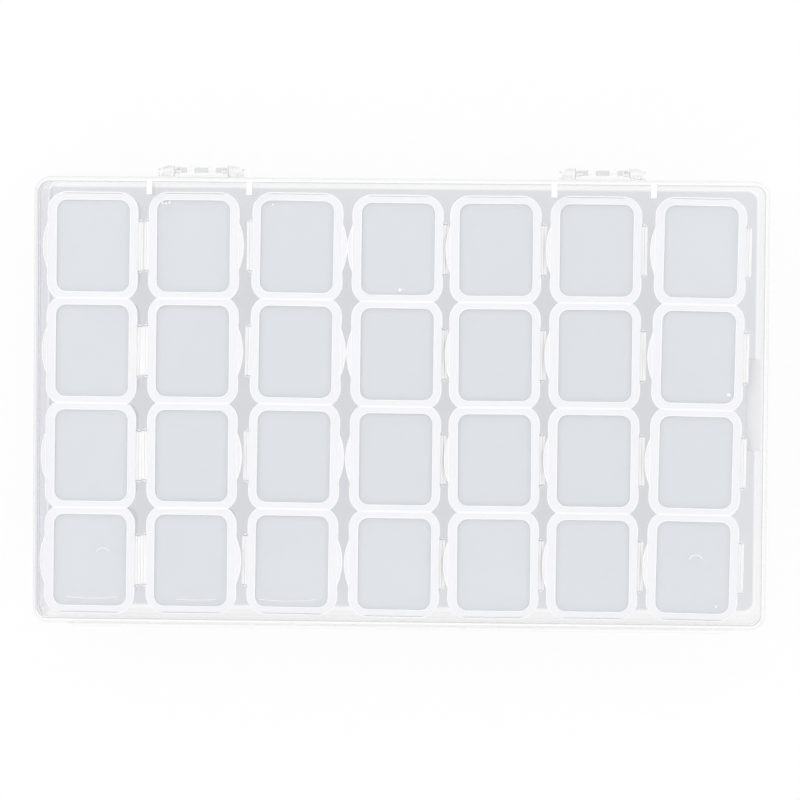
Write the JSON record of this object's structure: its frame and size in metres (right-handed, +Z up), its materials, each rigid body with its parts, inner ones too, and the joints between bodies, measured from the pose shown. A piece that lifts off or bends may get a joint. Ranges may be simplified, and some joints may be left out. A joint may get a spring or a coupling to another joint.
{
  "type": "bead organizer",
  "caption": "Flat hinged clear plastic case holding strips of small square cups for beads, each cup closed by its own snap flip lid.",
  "frame": {"origin": "under the middle of the case's shell, on the surface that it stands on", "axes": "+X to the right along the hinge, +Y from the hinge towards the latches, +Z up"},
  "size_m": [0.175, 0.111, 0.027],
  "materials": {
    "case_polypropylene": "moulded natural polypropylene, smooth and see-through",
    "cup_polypropylene": "moulded natural polypropylene, milky and see-through",
    "lid_polypropylene": "moulded natural polypropylene, milky and see-through",
    "clear_latch": "clear polystyrene, glossy"
  },
  "bodies": {
    "case_base": {"case_base": "case_polypropylene", "cup_strip_1": "cup_polypropylene", "cup_strip_2": "cup_polypropylene", "cup_strip_3": "cup_polypropylene", "cup_strip_4": "cup_polypropylene", "cup_strip_5": "cup_polypropylene", "cup_strip_6": "cup_polypropylene", "cup_strip_7": "cup_polypropylene"},
    "case_lid": {"case_lid": "case_polypropylene"},
    "latch_left": {"latch_left": "clear_latch"},
    "latch_right": {"latch_right": "clear_latch"},
    "flip_lid_1a": {"flip_lid_1a": "lid_polypropylene"},
    "flip_lid_1b": {"flip_lid_1b": "lid_polypropylene"},
    "flip_lid_1c": {"flip_lid_1c": "lid_polypropylene"},
    "flip_lid_1d": {"flip_lid_1d": "lid_polypropylene"},
    "flip_lid_2a": {"flip_lid_2a": "lid_polypropylene"},
    "flip_lid_2b": {"flip_lid_2b": "lid_polypropylene"},
    "flip_lid_2c": {"flip_lid_2c": "lid_polypropylene"},
    "flip_lid_2d": {"flip_lid_2d": "lid_polypropylene"},
    "flip_lid_3a": {"flip_lid_3a": "lid_polypropylene"},
    "flip_lid_3b": {"flip_lid_3b": "lid_polypropylene"},
    "flip_lid_3c": {"flip_lid_3c": "lid_polypropylene"},
    "flip_lid_3d": {"flip_lid_3d": "lid_polypropylene"},
    "flip_lid_4a": {"flip_lid_4a": "lid_polypropylene"},
    "flip_lid_4b": {"flip_lid_4b": "lid_polypropylene"},
    "flip_lid_4c": {"flip_lid_4c": "lid_polypropylene"},
    "flip_lid_4d": {"flip_lid_4d": "lid_polypropylene"},
    "flip_lid_5a": {"flip_lid_5a": "lid_polypropylene"},
    "flip_lid_5b": {"flip_lid_5b": "lid_polypropylene"},
    "flip_lid_5c": {"flip_lid_5c": "lid_polypropylene"},
    "flip_lid_5d": {"flip_lid_5d": "lid_polypropylene"},
    "flip_lid_6a": {"flip_lid_6a": "lid_polypropylene"},
    "flip_lid_6b": {"flip_lid_6b": "lid_polypropylene"},
    "flip_lid_6c": {"flip_lid_6c": "lid_polypropylene"},
    "flip_lid_6d": {"flip_lid_6d": "lid_polypropylene"},
    "flip_lid_7a": {"flip_lid_7a": "lid_polypropylene"},
    "flip_lid_7b": {"flip_lid_7b": "lid_polypropylene"},
    "flip_lid_7c": {"flip_lid_7c": "lid_polypropylene"},
    "flip_lid_7d": {"flip_lid_7d": "lid_polypropylene"}
  },
  "joints": [
    {"name": "case_lid_hinge", "type": "hinge", "parent": "case_base", "child": "case_lid", "pos_m": [0, -0.0542, 0.02], "axis": [1, 0, 0], "range_deg": [0, 180]},
    {"name": "latch_left_pivot", "type": "hinge", "parent": "case_lid", "child": "latch_left", "pos_m": [-0.0478, 0.0548, 0.0243], "axis": [1, 0, 0], "range_deg": [0, 100]},
    {"name": "latch_right_pivot", "type": "hinge", "parent": "case_lid", "child": "latch_right", "pos_m": [0.0478, 0.0548, 0.0243], "axis": [1, 0, 0], "range_deg": [0, 100]},
    {"name": "flip_lid_1a_hinge", "type": "hinge", "parent": "case_base", "child": "flip_lid_1a", "pos_m": [-0.06262, 0.03677, 0.0224], "axis": [0.0056, 1, 0], "range_deg": [0, 81]},
    {"name": "flip_lid_1b_hinge", "type": "hinge", "parent": "case_base", "child": "flip_lid_1b", "pos_m": [-0.06276, 0.01167, 0.0224], "axis": [0.0056, 1, 0], "range_deg": [0, 81]},
    {"name": "flip_lid_1c_hinge", "type": "hinge", "parent": "case_base", "child": "flip_lid_1c", "pos_m": [-0.0629, -0.01343, 0.0224], "axis": [0.0056, 1, 0], "range_deg": [0, 81]},
    {"name": "flip_lid_1d_hinge", "type": "hinge", "parent": "case_base", "child": "flip_lid_1d", "pos_m": [-0.06303, -0.03853, 0.0224], "axis": [0.0056, 1, 0], "range_deg": [0, 81]},
    {"name": "flip_lid_2a_hinge", "type": "hinge", "parent": "case_base", "child": "flip_lid_2a", "pos_m": [-0.0608, 0.03695, 0.0224], "axis": [-0.003, -1, 0], "range_deg": [0, 81]},
    {"name": "flip_lid_2b_hinge", "type": "hinge", "parent": "case_base", "child": "flip_lid_2b", "pos_m": [-0.06088, 0.01185, 0.0224], "axis": [-0.003, -1, 0], "range_deg": [0, 81]},
    {"name": "flip_lid_2c_hinge", "type": "hinge", "parent": "case_base", "child": "flip_lid_2c", "pos_m": [-0.06095, -0.01325, 0.0224], "axis": [-0.003, -1, 0], "range_deg": [0, 81]},
    {"name": "flip_lid_2d_hinge", "type": "hinge", "parent": "case_base", "child": "flip_lid_2d", "pos_m": [-0.06103, -0.03835, 0.0224], "axis": [-0.003, -1, 0], "range_deg": [0, 81]},
    {"name": "flip_lid_3a_hinge", "type": "hinge", "parent": "case_base", "child": "flip_lid_3a", "pos_m": [-0.03603, 0.03707, 0.0224], "axis": [-0.0091, -1, 0], "range_deg": [0, 81]},
    {"name": "flip_lid_3b_hinge", "type": "hinge", "parent": "case_base", "child": "flip_lid_3b", "pos_m": [-0.03626, 0.01197, 0.0224], "axis": [-0.0091, -1, 0], "range_deg": [0, 81]},
    {"name": "flip_lid_3c_hinge", "type": "hinge", "parent": "case_base", "child": "flip_lid_3c", "pos_m": [-0.03649, -0.01313, 0.0224], "axis": [-0.0091, -1, 0], "range_deg": [0, 81]},
    {"name": "flip_lid_3d_hinge", "type": "hinge", "parent": "case_base", "child": "flip_lid_3d", "pos_m": [-0.03672, -0.03823, 0.0224], "axis": [-0.0091, -1, 0], "range_deg": [0, 81]},
    {"name": "flip_lid_4a_hinge", "type": "hinge", "parent": "case_base", "child": "flip_lid_4a", "pos_m": [0.01035, 0.03657, 0.0224], "axis": [0.0042, 1, 0], "range_deg": [0, 81]},
    {"name": "flip_lid_4b_hinge", "type": "hinge", "parent": "case_base", "child": "flip_lid_4b", "pos_m": [0.01025, 0.01147, 0.0224], "axis": [0.0042, 1, 0], "range_deg": [0, 81]},
    {"name": "flip_lid_4c_hinge", "type": "hinge", "parent": "case_base", "child": "flip_lid_4c", "pos_m": [0.01014, -0.01363, 0.0224], "axis": [0.0042, 1, 0], "range_deg": [0, 81]},
    {"name": "flip_lid_4d_hinge", "type": "hinge", "parent": "case_base", "child": "flip_lid_4d", "pos_m": [0.01004, -0.03873, 0.0224], "axis": [0.0042, 1, 0], "range_deg": [0, 81]},
    {"name": "flip_lid_5a_hinge", "type": "hinge", "parent": "case_base", "child": "flip_lid_5a", "pos_m": [0.03372, 0.03662, 0.0224], "axis": [-0.0009, 1, 0], "range_deg": [0, 81]},
    {"name": "flip_lid_5b_hinge", "type": "hinge", "parent": "case_base", "child": "flip_lid_5b", "pos_m": [0.03374, 0.01152, 0.0224], "axis": [-0.0009, 1, 0], "range_deg": [0, 81]},
    {"name": "flip_lid_5c_hinge", "type": "hinge", "parent": "case_base", "child": "flip_lid_5c", "pos_m": [0.03377, -0.01358, 0.0224], "axis": [-0.0009, 1, 0], "range_deg": [0, 81]},
    {"name": "flip_lid_5d_hinge", "type": "hinge", "parent": "case_base", "child": "flip_lid_5d", "pos_m": [0.03379, -0.03868, 0.0224], "axis": [-0.0009, 1, 0], "range_deg": [0, 81]},
    {"name": "flip_lid_6a_hinge", "type": "hinge", "parent": "case_base", "child": "flip_lid_6a", "pos_m": [0.05763, 0.03663, 0.0224], "axis": [0.003, 1, 0], "range_deg": [0, 81]},
    {"name": "flip_lid_6b_hinge", "type": "hinge", "parent": "case_base", "child": "flip_lid_6b", "pos_m": [0.05755, 0.01153, 0.0224], "axis": [0.003, 1, 0], "range_deg": [0, 81]},
    {"name": "flip_lid_6c_hinge", "type": "hinge", "parent": "case_base", "child": "flip_lid_6c", "pos_m": [0.05748, -0.01357, 0.0224], "axis": [0.003, 1, 0], "range_deg": [0, 81]},
    {"name": "flip_lid_6d_hinge", "type": "hinge", "parent": "case_base", "child": "flip_lid_6d", "pos_m": [0.0574, -0.03867, 0.0224], "axis": [0.003, 1, 0], "range_deg": [0, 81]},
    {"name": "flip_lid_7a_hinge", "type": "hinge", "parent": "case_base", "child": "flip_lid_7a", "pos_m": [0.08245, 0.03639, 0.0224], "axis": [0.0147, 0.9999, 0], "range_deg": [0, 81]},
    {"name": "flip_lid_7b_hinge", "type": "hinge", "parent": "case_base", "child": "flip_lid_7b", "pos_m": [0.08208, 0.01129, 0.0224], "axis": [0.0147, 0.9999, 0], "range_deg": [0, 81]},
    {"name": "flip_lid_7c_hinge", "type": "hinge", "parent": "case_base", "child": "flip_lid_7c", "pos_m": [0.08171, -0.0138, 0.0224], "axis": [0.0147, 0.9999, 0], "range_deg": [0, 81]},
    {"name": "flip_lid_7d_hinge", "type": "hinge", "parent": "case_base", "child": "flip_lid_7d", "pos_m": [0.08134, -0.0389, 0.0224], "axis": [0.0147, 0.9999, 0], "range_deg": [0, 81]}
  ],
  "couplings": [
    {"joint": "flip_lid_1a_hinge", "follows": "case_lid_hinge", "ratio": 0.45},
    {"joint": "flip_lid_1b_hinge", "follows": "case_lid_hinge", "ratio": 0.45},
    {"joint": "flip_lid_1c_hinge", "follows": "case_lid_hinge", "ratio": 0.45},
    {"joint": "flip_lid_1d_hinge", "follows": "case_lid_hinge", "ratio": 0.45},
    {"joint": "flip_lid_2a_hinge", "follows": "case_lid_hinge", "ratio": 0.45},
    {"joint": "flip_lid_2b_hinge", "follows": "case_lid_hinge", "ratio": 0.45},
    {"joint": "flip_lid_2c_hinge", "follows": "case_lid_hinge", "ratio": 0.45},
    {"joint": "flip_lid_2d_hinge", "follows": "case_lid_hinge", "ratio": 0.45},
    {"joint": "flip_lid_3a_hinge", "follows": "case_lid_hinge", "ratio": 0.45},
    {"joint": "flip_lid_3b_hinge", "follows": "case_lid_hinge", "ratio": 0.45},
    {"joint": "flip_lid_3c_hinge", "follows": "case_lid_hinge", "ratio": 0.45},
    {"joint": "flip_lid_3d_hinge", "follows": "case_lid_hinge", "ratio": 0.45},
    {"joint": "flip_lid_4a_hinge", "follows": "case_lid_hinge", "ratio": 0.45},
    {"joint": "flip_lid_4b_hinge", "follows": "case_lid_hinge", "ratio": 0.45},
    {"joint": "flip_lid_4c_hinge", "follows": "case_lid_hinge", "ratio": 0.45},
    {"joint": "flip_lid_4d_hinge", "follows": "case_lid_hinge", "ratio": 0.45},
    {"joint": "flip_lid_5a_hinge", "follows": "case_lid_hinge", "ratio": 0.45},
    {"joint": "flip_lid_5b_hinge", "follows": "case_lid_hinge", "ratio": 0.45},
    {"joint": "flip_lid_5c_hinge", "follows": "case_lid_hinge", "ratio": 0.45},
    {"joint": "flip_lid_5d_hinge", "follows": "case_lid_hinge", "ratio": 0.45},
    {"joint": "flip_lid_6a_hinge", "follows": "case_lid_hinge", "ratio": 0.45},
    {"joint": "flip_lid_6b_hinge", "follows": "case_lid_hinge", "ratio": 0.45},
    {"joint": "flip_lid_6c_hinge", "follows": "case_lid_hinge", "ratio": 0.45},
    {"joint": "flip_lid_6d_hinge", "follows": "case_lid_hinge", "ratio": 0.45},
    {"joint": "flip_lid_7a_hinge", "follows": "case_lid_hinge", "ratio": 0.45},
    {"joint": "flip_lid_7b_hinge", "follows": "case_lid_hinge", "ratio": 0.45},
    {"joint": "flip_lid_7c_hinge", "follows": "case_lid_hinge", "ratio": 0.45},
    {"joint": "flip_lid_7d_hinge", "follows": "case_lid_hinge", "ratio": 0.45}
  ]
}
